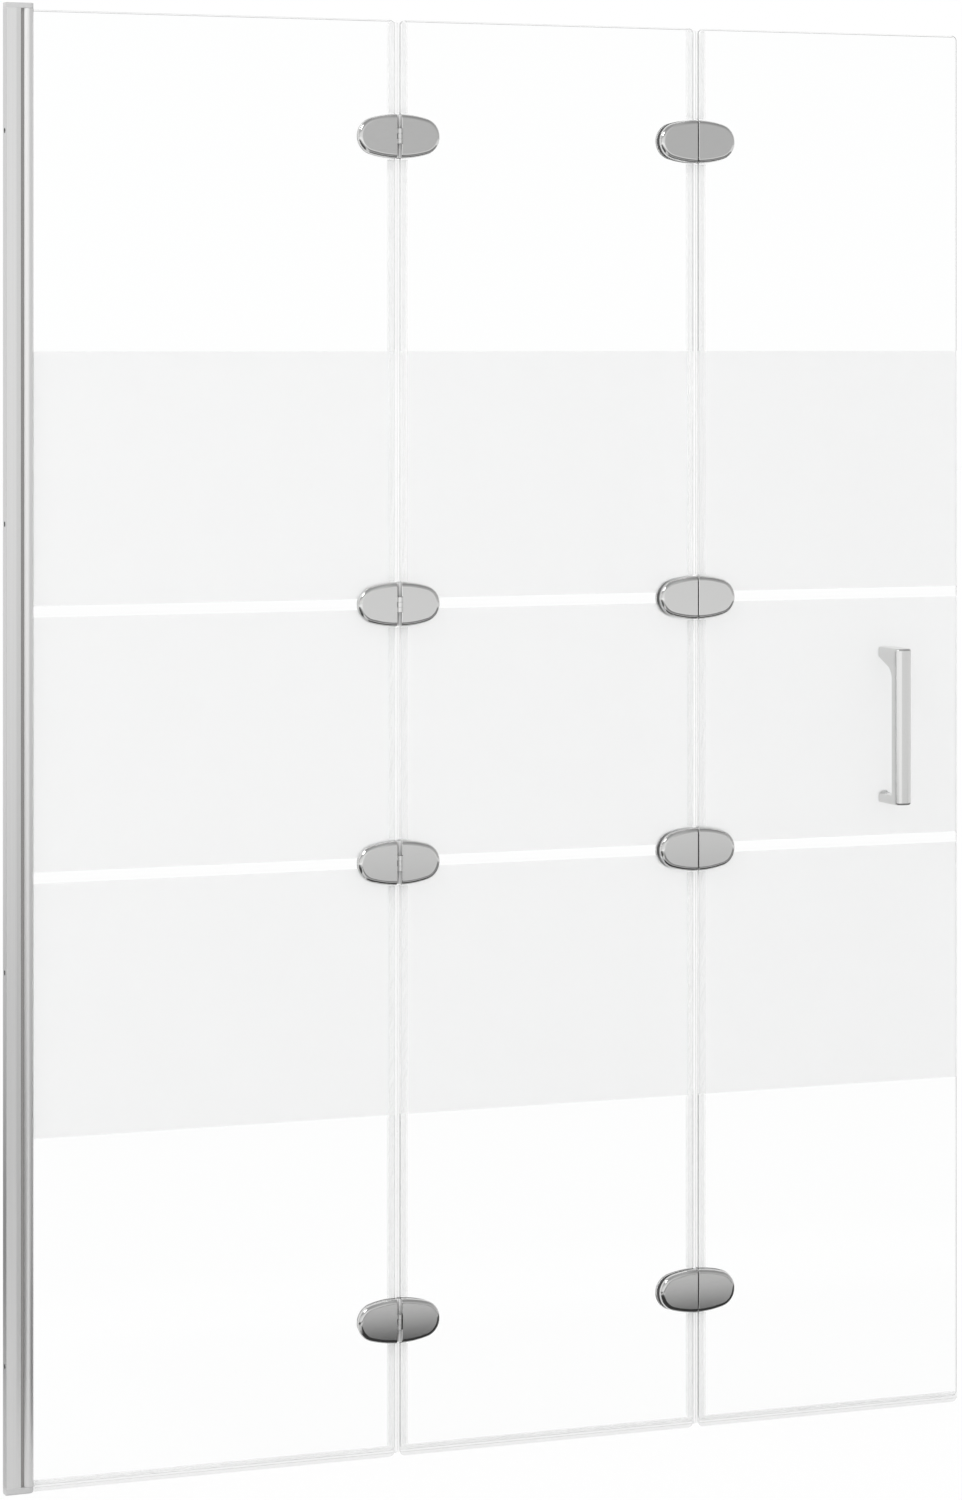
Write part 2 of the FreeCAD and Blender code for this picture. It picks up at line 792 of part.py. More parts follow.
def hinges():
    screw = countersunk_screw(
        "hinge_screw",
        f"-({PLATE_SEAT} + thread_depth - screw_tip_gap)",
        f"{PLATE_FACE} - screw_head_inset",
    )
    pads = {}
    for hand, side in HANDS.items():
        pads[hand, True] = hinge_pad(f"{hand}_knuckle_pad", side, True)
        pads[hand, False] = hinge_pad(f"{hand}_plain_pad", side, False)
    pin = doc.addObject("Part::Cylinder", "hinge_pin")
    pin.setExpression("Radius", bound("pin_radius"))
    pin.setExpression("Height", bound(PIN_LENGTH))
    leaf_screws, leaf_pads = {}, {}
    for joint, x in JOINTS.items():
        for hand, side in HANDS.items():
            leaf = f"{joint}_{hand}"
            leaf_pads[leaf] = []
            for face, toward in FACES.items():
                knuckled = face == KNUCKLE_FACE[joint]
                master = hinge_plate(f"{leaf}_{face}_plate", side, toward, knuckled)
                pad_y = f"-{PLATE_SEAT}" if toward < 0 else HALF_GLASS
                for level, height in LEVELS[joint].items():
                    keep(put(master, f"{joint}_hinge_{level}_{hand}_{face}", x, "0", height))
                    piece = put(pads[hand, knuckled], f"{leaf}_{level}_{face}_pad", x, pad_y, height)
                    leaf_pads[leaf].append(piece)
            leaf_screws[leaf] = [
                put(screw, f"{leaf}_screw_{number}", across, "0", up)
                for number, (across, up) in enumerate(hinge_holes(joint, hand))
            ]
        axis_y = f"{FACES[KNUCKLE_FACE[joint]]} * {PIVOT_OFFSET}"
        pins = [
            put(pin, f"{joint}_{level}_pin", x, axis_y, f"{height} - {PIN_LENGTH} / 2")
            for level, height in LEVELS[joint].items()
        ]
        group(f"{joint}_hinge_pins", pins)
    panels = {"first": ["first_left"], "second": ["first_right", "second_left"], "third": ["second_right"]}
    for panel, leaves in panels.items():
        group(f"{panel}_hinge_pads", [piece for leaf in leaves for piece in leaf_pads[leaf]])
        group(f"{panel}_hinge_screws", [piece for leaf in leaves for piece in leaf_screws[leaf]])


# Handle: a cast bow on the room side of the last panel, screwed through from the back

def handle_bow():
    """The upper foot flares into the bar on its underside, and the lower foot meets it squarely."""
    body = keep(new_body("handle"))
    half = "handle_length / 2"
    low, high = f"({HANDLE_Z} - {half})", f"({HANDLE_Z} + {half})"
    foot_low = f"({low} + handle_lower_foot_height)"
    foot_high = f"({high} - handle_upper_foot_height)"
    seat = f"-{HANDLE_SEAT}"
    front = f"(-{HANDLE_SEAT} - handle_projection)"
    bar_back = f"({front} + handle_bar_depth)"
    # The flare's slope and how far before its corner the curve into the bar begins
    run = "(handle_projection - handle_bar_depth)"
    slope = f"sqrt({run}^2 + handle_flare^2)"
    cutback = f"(handle_flare_radius * ({slope} - handle_flare) / {run})"
    flare_y = f"{bar_back} + {cutback} * {run} / {slope}"
    flare_z = f"{foot_high} - handle_flare + {cutback} * handle_flare / {slope}"
    curve_high = f"{foot_high} - handle_flare - {cutback}"
    curve_low = f"{foot_low} + handle_lower_radius"
    sketch = new_sketch(body, "YZ_Plane", f"{HANDLE_X} - handle_width / 2")
    draw_outline(
        sketch,
        [
            (seat, low),
            (front, low),
            (front, high),
            (seat, high),
            (seat, foot_high),
            (flare_y, flare_z, (f"{bar_back} + handle_flare_radius", curve_high, 1)),
            (bar_back, curve_high),
            (bar_back, curve_low, (f"{bar_back} + handle_lower_radius", curve_low, 1)),
            (f"{bar_back} + handle_lower_radius", foot_low),
            (seat, foot_low),
        ],
    )
    pad(body, sketch, "handle_width")
    in_front = lies_at("Y", front)
    fillet(body, "handle_front_radius", lambda edge: in_front(edge) and edge.BoundBox.ZLength > 0)
    on_bar_back = lies_at("Y", bar_back)
    fillet(body, "handle_inner_edge_radius", lambda edge: on_bar_back(edge) and edge.BoundBox.ZLength > 0)
    at_seat, at_low, at_high = lies_at("Y", seat), lies_at("Z", low), lies_at("Z", high)
    fillet(
        body,
        "handle_end_radius",
        lambda edge: (at_low(edge) or at_high(edge)) and not at_seat(edge),
    )
    holes = new_sketch(body, "XZ_Plane", HANDLE_SEAT)
    for x, z in handle_holes():
        draw_circle(holes, x, z, "screw_radius + running_clearance")
    pocket(body, holes, "handle_thread_depth", reverse=True)


def handle_fixings():
    """Cup washers behind the glass, the screws that they carry, and soft pads on both faces."""
    washer = new_body("handle_washer")
    sketch = new_sketch(washer, "XZ_Plane")
    draw_circle(sketch, "0", "0", "washer_radius")
    pad(washer, sketch, "washer_thickness", reverse=True)
    outside = lies_at("Y", "washer_thickness")
    fillet(washer, "washer_edge_radius", outside)
    hole = new_sketch(washer, "XZ_Plane")
    draw_circle(hole, "0", "0", "screw_radius + running_clearance")
    pocket(washer, hole)
    rim = value("screw_radius + running_clearance")
    chamfer(
        washer,
        COUNTERSINK,
        lambda edge: outside(edge) and abs(edge.Curve.Radius - rim) < rim * same_place_share,
    )
    screw = countersunk_screw(
        "handle_screw",
        f"-({HANDLE_SEAT} + handle_thread_depth - screw_tip_gap)",
        f"{HANDLE_SEAT} + washer_thickness - screw_head_inset",
    )
    round_pad = new_body("handle_round_pad")
    sketch = new_sketch(round_pad, "XZ_Plane")
    draw_circle(sketch, "0", "0", "washer_radius")
    draw_circle(sketch, "0", "0", "screw_radius + running_clearance")
    pad(round_pad, sketch, "handle_pad_thickness", reverse=True)
    across = "(handle_width / 2 - pad_inset)"
    outer_end = "(handle_hole_from_end - pad_inset)"
    foot_pads = []
    for foot in ("lower", "upper"):
        foot_pad = new_body(f"handle_{foot}_foot_pad")
        sketch = new_sketch(foot_pad, "XZ_Plane")
        inner_end = f"(handle_{foot}_foot_height - handle_hole_from_end - pad_inset)"
        below, above = (outer_end, inner_end) if foot == "lower" else (inner_end, outer_end)
        draw_rectangle(sketch, f"-{across}", f"-{below}", across, above)
        draw_circle(sketch, "0", "0", "screw_radius + running_clearance")
        pad(foot_pad, sketch, "handle_pad_thickness", reverse=True)
        foot_pads.append(foot_pad)

    screws, washers, pads = [], [], []
    for number, (x, z) in enumerate(handle_holes()):
        screws.append(put(screw, f"handle_screw_{number}", x, "0", z))
        washers.append(put(washer, f"handle_washer_{number}", x, HANDLE_SEAT, z))
        pads.append(put(round_pad, f"handle_round_pad_{number}", x, HALF_GLASS, z))
        pads.append(put(foot_pads[number], f"handle_foot_pad_{number}", x, f"-{HANDLE_SEAT}", z))
    group("handle_screws", screws)
    group("handle_washers", washers)
    group("handle_pads", pads)


wall_channel()
channel_seal()
end_cap("bottom_cap", "bottom_cap_height", "0", "bottom_cap_edge_radius", False)
end_cap(
    "top_cap",
    "top_cap_height",
    "(profile_height - top_cap_height)",
    "top_cap_edge_radius",
    True,
)
pivot_post()
glazing_gasket()
glass_panel("first_glass", GLASS_START, f"({FIRST_JOINT} - glass_setback)", hinge_holes("first", "left"))
glass_panel(
    "second_glass",
    f"({FIRST_JOINT} + glass_setback)",
    f"({SECOND_JOINT} - glass_setback)",
    hinge_holes("first", "right") + hinge_holes("second", "left"),
)
glass_panel(
    "third_glass",
    f"({SECOND_JOINT} + glass_setback)",
    FREE_EDGE,
    hinge_holes("second", "right") + handle_holes(),
)
bottom_seal(
    "first_bottom_seal",
    f"({POST_X} + post_radius + seal_post_gap)",
    f"({FIRST_JOINT} - glass_setback)",
    {"right": "joint_corner_radius"},
)
bottom_seal(
    "second_bottom_seal",
    f"({FIRST_JOINT} + glass_setback)",
    f"({SECOND_JOINT} - glass_setback)",
    {"left": "joint_corner_radius", "right": "joint_corner_radius"},
)
bottom_seal(
    "third_bottom_seal",
    f"({SECOND_JOINT} + glass_setback)",
    FREE_EDGE,
    {"left": "joint_corner_radius", "right": "free_corner_radius"},
)
edge_seal("first_edge_seal", "first", "left")
edge_seal("second_left_edge_seal", "first", "right")
edge_seal("second_right_edge_seal", "second", "left")
edge_seal("third_edge_seal", "second", "right")
hinges()
handle_bow()
handle_fixings()

# Every object has to be sound before anything is written
doc.recompute()
faults = [item.Name for item in doc.Objects if {"Invalid", "Error"} & set(item.State)]
shapes = {label: Part.getShape(piece) for label, piece in nodes.items()}
faults += [label for label, shape in shapes.items() if shape.isNull() or not shape.isValid()]
if faults:
    raise RuntimeError(f"not sound: {faults}")
os.makedirs("parts", exist_ok=True)
for label, shape in shapes.items():
    shape.exportStep(f"parts/{label}.step")
print(len(shapes), "nodes,", sum(len(shape.Solids) for shape in shapes.values()), "solids")
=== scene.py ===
import math

import bpy
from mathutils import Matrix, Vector


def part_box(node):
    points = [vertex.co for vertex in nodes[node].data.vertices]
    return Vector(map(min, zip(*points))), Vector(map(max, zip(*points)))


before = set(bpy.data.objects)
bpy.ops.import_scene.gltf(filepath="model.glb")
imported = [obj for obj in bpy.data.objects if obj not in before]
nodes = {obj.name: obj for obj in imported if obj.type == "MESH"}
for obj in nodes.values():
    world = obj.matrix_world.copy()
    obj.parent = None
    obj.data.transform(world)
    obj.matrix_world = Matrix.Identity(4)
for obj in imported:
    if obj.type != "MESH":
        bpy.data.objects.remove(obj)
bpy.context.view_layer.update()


# The wall channel is an aluminium extrusion, screwed to the wall, and the round post that turns in
# front of it is drawn from the same metal. Both are satin anodised over the faint lines of the die.
# The side that meets the wall has painted shade: its colour is darker than the rest.

def new_finish(name):
    """A material, its node tree and its main shader."""
    material = bpy.data.materials.new(name)
    material.use_nodes = True
    return material, material.node_tree, material.node_tree.nodes["Principled BSDF"]


def add_node(tree, kind, settings=None, **inputs):
    """A shader node, whose named inputs take a plain value or another node's output."""
    node = tree.nodes.new(kind)
    for name, setting in (settings or {}).items():
        setattr(node, name, setting)
    for name, source in inputs.items():
        join(tree, source, node.inputs[name.replace("_", " ")])
    return node


def join(tree, source, socket):
    """Puts another node's output, or else a plain value, into a socket."""
    if isinstance(source, bpy.types.NodeSocket):
        tree.links.new(source, socket)
    else:
        socket.default_value = source


def reckon(tree, operation, *values):
    """The result of a product or another operation on one or two values."""
    node = add_node(tree, "ShaderNodeMath", {"operation": operation})
    for value, socket in zip(values, node.inputs):
        join(tree, value, socket)
    return node.outputs["Value"]


def place_on(tree):
    """X, Y and Z fixed to the piece, in metres."""
    place = tree.nodes.new("ShaderNodeTexCoord").outputs["Object"]
    return add_node(tree, "ShaderNodeSeparateXYZ", Vector=place).outputs


# How fine the noise is in most finishes, and the two values between which most of it lies
NOISE_DETAIL = 2.0
NOISE_LOW = 0.3
NOISE_HIGH = 0.7


def grain(tree, waves, detail=NOISE_DETAIL):
    """Noise fixed to the piece, with this many waves in a metre along X, Y and Z."""
    place = tree.nodes.new("ShaderNodeTexCoord").outputs["Object"]
    stretched = add_node(tree, "ShaderNodeMapping", Vector=place, Scale=waves).outputs["Vector"]
    noise = add_node(tree, "ShaderNodeTexNoise", Vector=stretched, Scale=1.0, Detail=detail)
    return noise.outputs["Fac"]


def between(tree, noise, low, high):
    """A number that drifts between two values with the noise."""
    spread = add_node(
        tree,
        "ShaderNodeMapRange",
        Value=noise,
        From_Min=NOISE_LOW,
        From_Max=NOISE_HIGH,
        To_Min=low,
        To_Max=high,
    )
    return spread.outputs["Result"]


def tones(tree, noise, dark, light):
    """A colour that drifts between two tones with the noise."""
    ramp = add_node(tree, "ShaderNodeValToRGB", Fac=noise)
    places = (NOISE_LOW, NOISE_HIGH)
    for stop, place, tone in zip(ramp.color_ramp.elements, places, (dark, light)):
        stop.position = place
        stop.color = (*tone, 1.0)
    return ramp.outputs["Color"]


def raise_relief(tree, shader, noise, height):
    """Fine relief of a real height in metres."""
    bump = add_node(tree, "ShaderNodeBump", Height=noise, Distance=height)
    join(tree, bump.outputs["Normal"], shader.inputs["Normal"])


def coat(material, names):
    """Gives these pieces the material in place of their plain one."""
    for name in names:
        nodes[name].data.materials.clear()
        nodes[name].data.materials.append(material)


ALUMINIUM_DARK = (0.86, 0.86, 0.855)
ALUMINIUM_LIGHT = (0.90, 0.90, 0.895)
ALUMINIUM_ROUGHNESS = (0.34, 0.40)
WALL_SIDE_PAINTED_SHADE = (0.70, 0.70, 0.70, 1.0)
WALL_SIDE_SHADE_DEPTH = 0.0003
DIE_LINES = (900.0, 900.0, 3.0)
DIE_LINE_HEIGHT = 0.000001

aluminium, tree, shader = new_finish("satin_anodised_aluminium")
die_lines = grain(tree, DIE_LINES)
# Painted shade: the side that meets the wall is coloured darker.
at_wall = reckon(tree, "LESS_THAN", place_on(tree)["X"], WALL_SIDE_SHADE_DEPTH)
metal = add_node(tree, "ShaderNodeMixRGB", Fac=at_wall, Color2=WALL_SIDE_PAINTED_SHADE)
join(tree, tones(tree, die_lines, ALUMINIUM_DARK, ALUMINIUM_LIGHT), metal.inputs["Color1"])
join(tree, metal.outputs["Color"], shader.inputs["Base Color"])
join(tree, between(tree, die_lines, *ALUMINIUM_ROUGHNESS), shader.inputs["Roughness"])
shader.inputs["Metallic"].default_value = 1.0
raise_relief(tree, shader, die_lines, DIE_LINE_HEIGHT)
coat(aluminium, ["wall_channel", "pivot_post"])


# The strip in the channel's mouth is extruded in a soft grey rubber and pushed into the channel.
# It is matt, with a fine pebbled skin.

RUBBER_DARK = (0.245, 0.24, 0.235)
RUBBER_LIGHT = (0.30, 0.295, 0.29)
RUBBER_ROUGHNESS = (0.6, 0.75)
RUBBER_PEBBLES = (2500.0, 2500.0, 2500.0)
PEBBLE_HEIGHT = 0.00002

rubber, tree, shader = new_finish("grey_rubber_strip")
pebbles = grain(tree, RUBBER_PEBBLES)
join(tree, tones(tree, pebbles, RUBBER_DARK, RUBBER_LIGHT), shader.inputs["Base Color"])
join(tree, between(tree, pebbles, *RUBBER_ROUGHNESS), shader.inputs["Roughness"])
raise_relief(tree, shader, pebbles, PEBBLE_HEIGHT)
coat(rubber, ["channel_seal"])


# The end caps are moulded in a light grey plastic that goes with the metal, and plug into the
# channel. The mould leaves a fine satin texture.

CAP_DARK = (0.53, 0.53, 0.53)
CAP_LIGHT = (0.57, 0.57, 0.57)
CAP_ROUGHNESS = (0.34, 0.48)
CAP_TEXTURE = (1800.0, 1800.0, 1800.0)
CAP_TEXTURE_DETAIL = 3.0
CAP_TEXTURE_HEIGHT = 0.00001

cap_plastic, tree, shader = new_finish("moulded_grey_plastic")
texture = grain(tree, CAP_TEXTURE, CAP_TEXTURE_DETAIL)
join(tree, tones(tree, texture, CAP_DARK, CAP_LIGHT), shader.inputs["Base Color"])
join(tree, between(tree, texture, *CAP_ROUGHNESS), shader.inputs["Roughness"])
raise_relief(tree, shader, texture, CAP_TEXTURE_HEIGHT)
coat(cap_plastic, ["top_cap", "bottom_cap"])


# Each panel is a sheet of clear tempered glass, coated so that it mirrors little and water runs
# off. Three bands across it are frosted by etching, with two narrow clear lines between them.

SHEETS = ("first_glass", "second_glass", "third_glass")
SHEET_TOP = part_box("first_glass")[1][2]
FROST_BANDS = 3
FROST_FOOT = 0.3300
FROST_BAND = 0.2392
CLEAR_LINE = 0.009
CLEAR_TINT = (0.995, 0.998, 0.997, 1.0)
FROST_TINT = (0.943, 0.946, 0.945, 1.0)
FROST_CLEARNESS = 0.90
FROST_ROUGHNESS = (0.38, 0.5)
ETCHING = (1500.0, 1500.0, 1500.0)
ETCHING_DETAIL = 3.0
GLASS_IOR = 1.5
GLASS_SHINE = (0.25, 0.25, 0.25, 1.0)
BLACK = (0.0, 0.0, 0.0, 1.0)
WHITE = (1.0, 1.0, 1.0, 1.0)


def show_mix(tree, share, first, second):
    """Shows the first shader on the surface, and the second one by this share."""
    mix = add_node(tree, "ShaderNodeMixShader", Fac=share)
    join(tree, first, mix.inputs[1])
    join(tree, second, mix.inputs[2])
    join(tree, mix.outputs["Shader"], tree.nodes["Material Output"].inputs["Surface"])


def let_lamps_through(tree, shader):
    """Lets the lamps' light pass, so that a clear piece casts no shadow like a board's."""
    lamp_ray = tree.nodes.new("ShaderNodeLightPath").outputs["Is Shadow Ray"]
    clear = tree.nodes.new("ShaderNodeBsdfTransparent").outputs["BSDF"]
    show_mix(tree, lamp_ray, shader.outputs["BSDF"], clear)


glass, tree, shader = new_finish("banded_glass")
height = place_on(tree)["Z"]
share = add_node(tree, "ShaderNodeMapRange", Value=height, From_Max=SHEET_TOP)
bands = add_node(tree, "ShaderNodeValToRGB", Fac=share.outputs["Result"])
bands.color_ramp.interpolation = "CONSTANT"
stops = bands.color_ramp.elements
stops.remove(stops[1])
stops[0].color = BLACK
for number in range(FROST_BANDS):
    foot = FROST_FOOT + number * (FROST_BAND + CLEAR_LINE)
    stops.new(foot / SHEET_TOP).color = WHITE
    stops.new((foot + FROST_BAND) / SHEET_TOP).color = BLACK
frosted = bands.outputs["Color"]
etched = between(tree, grain(tree, ETCHING, ETCHING_DETAIL), *FROST_ROUGHNESS)
join(tree, reckon(tree, "MULTIPLY", frosted, etched), shader.inputs["Roughness"])
tint = add_node(tree, "ShaderNodeMixRGB", Fac=frosted, Color1=CLEAR_TINT, Color2=FROST_TINT)
join(tree, tint.outputs["Color"], shader.inputs["Base Color"])
clearness = add_node(
    tree, "ShaderNodeMapRange", Value=frosted, To_Min=1.0, To_Max=FROST_CLEARNESS
)
join(tree, clearness.outputs["Result"], shader.inputs["Transmission Weight"])
shader.inputs["IOR"].default_value = GLASS_IOR
shader.inputs["Specular Tint"].default_value = GLASS_SHINE
let_lamps_through(tree, shader)
coat(glass, SHEETS)


# The clips on the glass edges and the liner in the post are extruded in clear vinyl and pushed
# over the glass, with the faint lines of the die along each length. The vinyl is a little milky:
# each wall hides a part of what is behind, and the solid nose past the glass edge is greyer.

VINYL_DARK = (0.960, 0.962, 0.962)
VINYL_LIGHT = (0.975, 0.977, 0.977)
VINYL_ROUGHNESS = (0.28, 0.4)
VINYL_MILK = 0.22
NOSE_BLUR = 0.0001
UPRIGHT_LINES = (500.0, 500.0, 6.0)
UPRIGHT_NOSE_SHADE = (0.92, 0.92, 0.92, 1.0)
LEVEL_LINES = (6.0, 500.0, 500.0)
LEVEL_NOSE_SHADE = (0.75, 0.75, 0.75, 1.0)


def follow(tree, value, points):
    """What the value becomes along straight lines through points of (value, result)."""
    low, high = points[0][0], points[-1][0]
    share = add_node(tree, "ShaderNodeMapRange", Value=value, From_Min=low, From_Max=high)
    ramp = add_node(tree, "ShaderNodeValToRGB", Fac=share.outputs["Result"])
    stops = ramp.color_ramp.elements
    stops.remove(stops[1])
    for at, result in points:
        stop = stops[0] if at == low else stops.new((at - low) / (high - low))
        stop.color = (result, result, result, 1.0)
    return ramp.outputs["Color"]


def nose(low, high):
    """Points to follow: 1 between the two places, 0 outside."""
    return (low - NOSE_BLUR, 0.0), (low, 1.0), (high, 1.0), (high + NOSE_BLUR, 0.0)


def cover_with_vinyl(finish, lines, axis, noses, shade, ends):
    """Gives the clips whose names end like this a vinyl with these die lines and noses."""
    vinyl, tree, shader = new_finish(finish)
    flow_lines = grain(tree, lines)
    in_nose = follow(tree, place_on(tree)[axis], noses)
    tone = add_node(
        tree, "ShaderNodeMixRGB", {"blend_type": "MULTIPLY"}, Fac=in_nose, Color2=shade
    )
    join(tree, tones(tree, flow_lines, VINYL_DARK, VINYL_LIGHT), tone.inputs["Color1"])
    join(tree, tone.outputs["Color"], shader.inputs["Base Color"])
    join(tree, between(tree, flow_lines, *VINYL_ROUGHNESS), shader.inputs["Roughness"])
    shader.inputs["Alpha"].default_value = VINYL_MILK
    let_lamps_through(tree, shader)
    coat(vinyl, [name for name in nodes if name.endswith(ends)])


sheets = [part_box(name) for name in SHEETS]
joint_noses = [
    point
    for left, right in zip(sheets, sheets[1:])
    for point in nose(left[1][0], right[0][0])
]
foot_nose = nose(0.0, sheets[0][0][2])
cover_with_vinyl(
    "upright_clear_vinyl",
    UPRIGHT_LINES,
    "X",
    joint_noses,
    UPRIGHT_NOSE_SHADE,
    ("_edge_seal", "_gasket"),
)
cover_with_vinyl(
    "level_clear_vinyl",
    LEVEL_LINES,
    "Z",
    foot_nose,
    LEVEL_NOSE_SHADE,
    "_bottom_seal",
)


# The pads between metal and glass are punched from a soft pale silicone sheet with a dry skin. The
# screws clamp them.

PAD_DARK = (0.87, 0.87, 0.87)
PAD_LIGHT = (0.91, 0.91, 0.91)
PAD_ROUGHNESS = (0.5, 0.65)
PAD_SKIN = (1200.0, 1200.0, 1200.0)

silicone, tree, shader = new_finish("pale_silicone")
skin = grain(tree, PAD_SKIN)
join(tree, tones(tree, skin, PAD_DARK, PAD_LIGHT), shader.inputs["Base Color"])
join(tree, between(tree, skin, *PAD_ROUGHNESS), shader.inputs["Roughness"])
coat(silicone, [name for name in nodes if name.endswith("_pads")])


# The oval hinge plates, the handle and its washers are die-cast, ground smooth and satin chromed,
# which leaves a soft even sheen with the finest brush marks along X.

CHROME_DARK = (0.65, 0.65, 0.645)
CHROME_LIGHT = (0.67, 0.67, 0.665)
CHROME_ROUGHNESS = (0.11, 0.14)
BRUSH_MARKS = (120.0, 2500.0, 2500.0)
BRUSH_MARK_HEIGHT = 0.0000001

chrome, tree, shader = new_finish("satin_chrome")
brush_marks = grain(tree, BRUSH_MARKS)
join(tree, tones(tree, brush_marks, CHROME_DARK, CHROME_LIGHT), shader.inputs["Base Color"])
join(tree, between(tree, brush_marks, *CHROME_ROUGHNESS), shader.inputs["Roughness"])
shader.inputs["Metallic"].default_value = 1.0
raise_relief(tree, shader, brush_marks, BRUSH_MARK_HEIGHT)
plates = [name for name in nodes if name.endswith(("_front", "_back"))]
coat(chrome, [*plates, "handle", "handle_washers"])


# The screws that clamp the plates and the handle, and the pins of the knuckles, are turned from
# bright steel, with fine rings from the lathe.

STEEL_DARK = (0.58, 0.58, 0.59)
STEEL_LIGHT = (0.66, 0.66, 0.67)
STEEL_ROUGHNESS = (0.2, 0.3)
LATHE_RINGS = (1500.0, 4000.0, 1500.0)

steel, tree, shader = new_finish("bright_steel")
rings = grain(tree, LATHE_RINGS)
join(tree, tones(tree, rings, STEEL_DARK, STEEL_LIGHT), shader.inputs["Base Color"])
join(tree, between(tree, rings, *STEEL_ROUGHNESS), shader.inputs["Roughness"])
shader.inputs["Metallic"].default_value = 1.0
coat(steel, [name for name in nodes if name.endswith(("_screws", "_pins"))])


# The floor is a sheet of white paper. It looks white by itself, a little less so in metal, and
# still takes the shadow of the screen.

FLOOR_SIZE = 60.0
FLOOR_OWN_WHITE = 0.96
FLOOR_WHITE_IN_METAL = 0.6
PAPER_TONE = (0.9, 0.9, 0.9, 1.0)
PAPER_ROUGHNESS = 0.9


def either(tree, *factors):
    """The greatest of several factors."""
    most = factors[0]
    for factor in factors[1:]:
        most = reckon(tree, "MAXIMUM", most, factor)
    return most


bpy.ops.mesh.primitive_plane_add(size=FLOOR_SIZE)
floor = bpy.context.object
floor.name = "floor"
paper, tree, shader = new_finish("white_paper")
shader.inputs["Base Color"].default_value = PAPER_TONE
shader.inputs["Roughness"].default_value = PAPER_ROUGHNESS
rays = tree.nodes.new("ShaderNodeLightPath").outputs
seen = either(tree, rays["Is Camera Ray"], rays["Is Transmission Ray"])
own_white = either(
    tree,
    reckon(tree, "MULTIPLY", seen, FLOOR_OWN_WHITE),
    reckon(tree, "MULTIPLY", rays["Is Glossy Ray"], FLOOR_WHITE_IN_METAL),
)
white = add_node(tree, "ShaderNodeEmission", Color=WHITE, Strength=1.0)
show_mix(tree, own_white, shader.outputs["BSDF"], white.outputs["Emission"])
floor.data.materials.append(paper)


# A dark sheet of painted reflection lies on the floor along the screen and thins out towards the
# viewer. It is thinner in front of the wall profile. Only metal and the gloss of the glass show it,
# so that the lower rims of the hinges stand out as the photograph shows them.

REFLECTION_SHEET_SIZE = 9.0
REFLECTION_SHEET_LIFT = 0.002
PAINTED_REFLECTION_TONE = (0.05, 0.05, 0.05, 1.0)
# How much it covers at some distances from the screen, in front of the hinges and to their left,
# and how these two parts of it lie along the screen
HINGE_COVER = (
    (0.0, 1.0),
    (0.48, 1.0),
    (0.62, 0.15),
    (0.75, 0.15),
    (0.9, 0.75),
    (3.6, 0.65),
    (4.5, 0.0),
)
HINGE_PART = ((-4.5, 0.0), (-0.25, 0.0), (-0.15, 0.3), (0.18, 0.3), (0.28, 1.0), (4.5, 1.0))
LEFT_COVER = ((0.0, 1.0), (1.2, 0.95), (2.2, 0.5), (3.6, 0.3), (4.5, 0.0))
LEFT_PART = ((-4.5, 1.0), (-0.25, 1.0), (-0.15, 0.0), (4.5, 0.0))

bpy.ops.mesh.primitive_plane_add(size=REFLECTION_SHEET_SIZE)
dark_reflection_sheet = bpy.context.object
dark_reflection_sheet.name = "painted_dark_reflection"
dark_reflection_sheet.location.z = REFLECTION_SHEET_LIFT
painted_reflection_finish, tree, _ = new_finish("painted_dark_reflection")
spot = place_on(tree)
away = reckon(tree, "ABSOLUTE", spot["Y"])
parts = [
    reckon(tree, "MULTIPLY", follow(tree, away, cover), follow(tree, spot["X"], part))
    for cover, part in ((HINGE_COVER, HINGE_PART), (LEFT_COVER, LEFT_PART))
]
# Painted dark reflection: a dark glow that only the gloss of metal and glass sees.
dark = add_node(tree, "ShaderNodeEmission", Color=PAINTED_REFLECTION_TONE, Strength=1.0)
clear = tree.nodes.new("ShaderNodeBsdfTransparent")
show_mix(tree, either(tree, *parts), clear.outputs["BSDF"], dark.outputs["Emission"])
dark_reflection_sheet.data.materials.append(painted_reflection_finish)
dark_reflection_sheet.visible_camera = False
dark_reflection_sheet.visible_diffuse = False
dark_reflection_sheet.visible_transmission = False
dark_reflection_sheet.visible_shadow = False


# The studio is white behind the screen. On the viewer's side it is light at the left, darker at
# the right and under the ceiling, with a long soft lamp at the left and a small one above it.

LEVELS_ALONG = ((-1.0, 0.68), (0.0, 0.75), (0.27, 0.93), (0.34, 0.64), (1.0, 0.63))
# The walls darken towards the ceiling between these two heights of the view's direction, and turn
# into the white back between these two depths of it
CEILING_RISE = (0.1, 0.7)
CEILING_LEVEL = 0.6
BACK_TURN = (0.2, 0.5)
BACK_LEVEL_IN_METAL = 0.92

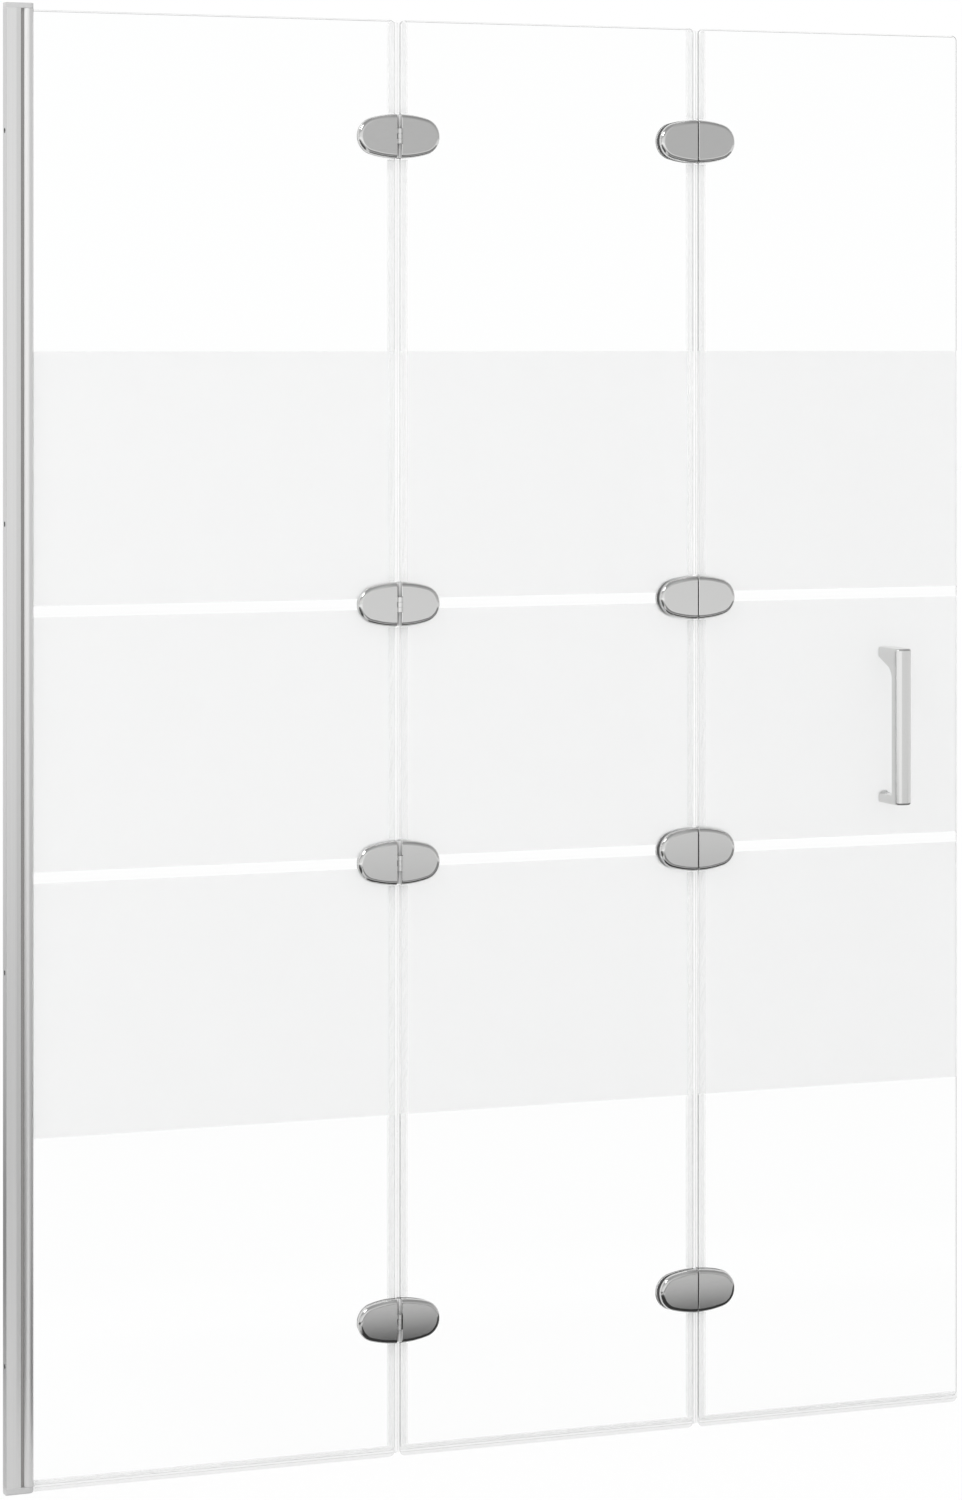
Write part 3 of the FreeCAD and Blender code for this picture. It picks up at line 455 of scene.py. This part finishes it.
world = bpy.data.worlds.new("studio")
bpy.context.scene.world = world
world.use_nodes = True
tree = world.node_tree
direction = tree.nodes.new("ShaderNodeTexCoord").outputs["Generated"]
way = add_node(tree, "ShaderNodeSeparateXYZ", Vector=direction).outputs
sideways = follow(tree, way["X"], LEVELS_ALONG)
upward = add_node(
    tree,
    "ShaderNodeMapRange",
    Value=way["Z"],
    From_Min=CEILING_RISE[0],
    From_Max=CEILING_RISE[1],
    To_Min=1.0,
    To_Max=CEILING_LEVEL,
).outputs["Result"]
behind = add_node(
    tree,
    "ShaderNodeMapRange",
    Value=way["Y"],
    From_Min=BACK_TURN[0],
    From_Max=BACK_TURN[1],
).outputs["Result"]
rays = tree.nodes.new("ShaderNodeLightPath").outputs
seen = either(
    tree,
    rays["Is Camera Ray"],
    rays["Is Transmission Ray"],
    rays["Is Diffuse Ray"],
)
at_back = either(tree, behind, seen)
level = add_node(tree, "ShaderNodeMix", {"data_type": "FLOAT"}, Factor=at_back)
join(tree, reckon(tree, "MULTIPLY", sideways, upward), level.inputs["A"])
join(tree, either(tree, seen, BACK_LEVEL_IN_METAL), level.inputs["B"])
background = tree.nodes["Background"]
background.inputs["Color"].default_value = WHITE
join(tree, level.outputs["Result"], background.inputs["Strength"])

SCREEN_MIDDLE = (0.5, 0.0, 0.7)
SIDE_LAMP_PLACE = (-2.1, -3.5, 1.2)
SIDE_LAMP_SIZE = (7.6, 2.6)
SIDE_LAMP_POWER = 19.0
HIGH_LAMP_PLACE = (-1.6, -1.2, 3.0)
HIGH_LAMP_SIZE = (0.9, 0.9)
HIGH_LAMP_POWER = 18.0


def hang_lamp(name, place, size, power):
    """A flat lamp that faces the middle of the screen."""
    lamp = bpy.data.lights.new(name, "AREA")
    lamp.shape = "RECTANGLE"
    lamp.size, lamp.size_y = size
    lamp.energy = power
    holder = bpy.data.objects.new(name, lamp)
    holder.location = place
    aim = Vector(SCREEN_MIDDLE) - Vector(place)
    holder.rotation_euler = aim.to_track_quat("-Z", "Y").to_euler()
    bpy.context.scene.collection.objects.link(holder)


hang_lamp("side_lamp", SIDE_LAMP_PLACE, SIDE_LAMP_SIZE, SIDE_LAMP_POWER)
hang_lamp("high_lamp", HIGH_LAMP_PLACE, HIGH_LAMP_SIZE, HIGH_LAMP_POWER)


# The camera stands level at the left, a little below the top of the screen, and looks to the
# right. Its frame is the photograph's, with the horizon above the middle.

PHOTO_HEIGHT = 1500
FOCAL_PIXELS = 4440.0
HORIZON_ROW = 344.4
SENSOR = 36.0
VIEWPOINT = (-1.109, -4.030, 1.0768)
LEVEL = math.radians(90.0)
YAW = math.radians(-21.51)

camera = bpy.data.cameras.new("camera")
camera.sensor_fit = "VERTICAL"
camera.sensor_height = SENSOR
camera.lens = FOCAL_PIXELS / PHOTO_HEIGHT * SENSOR
camera.shift_y = HORIZON_ROW / PHOTO_HEIGHT - 0.5
viewer = bpy.data.objects.new("camera", camera)
viewer.location = VIEWPOINT
viewer.rotation_euler = (LEVEL, 0.0, YAW)
bpy.context.scene.collection.objects.link(viewer)
bpy.context.scene.camera = viewer

bpy.context.scene.view_settings.view_transform = "Standard"
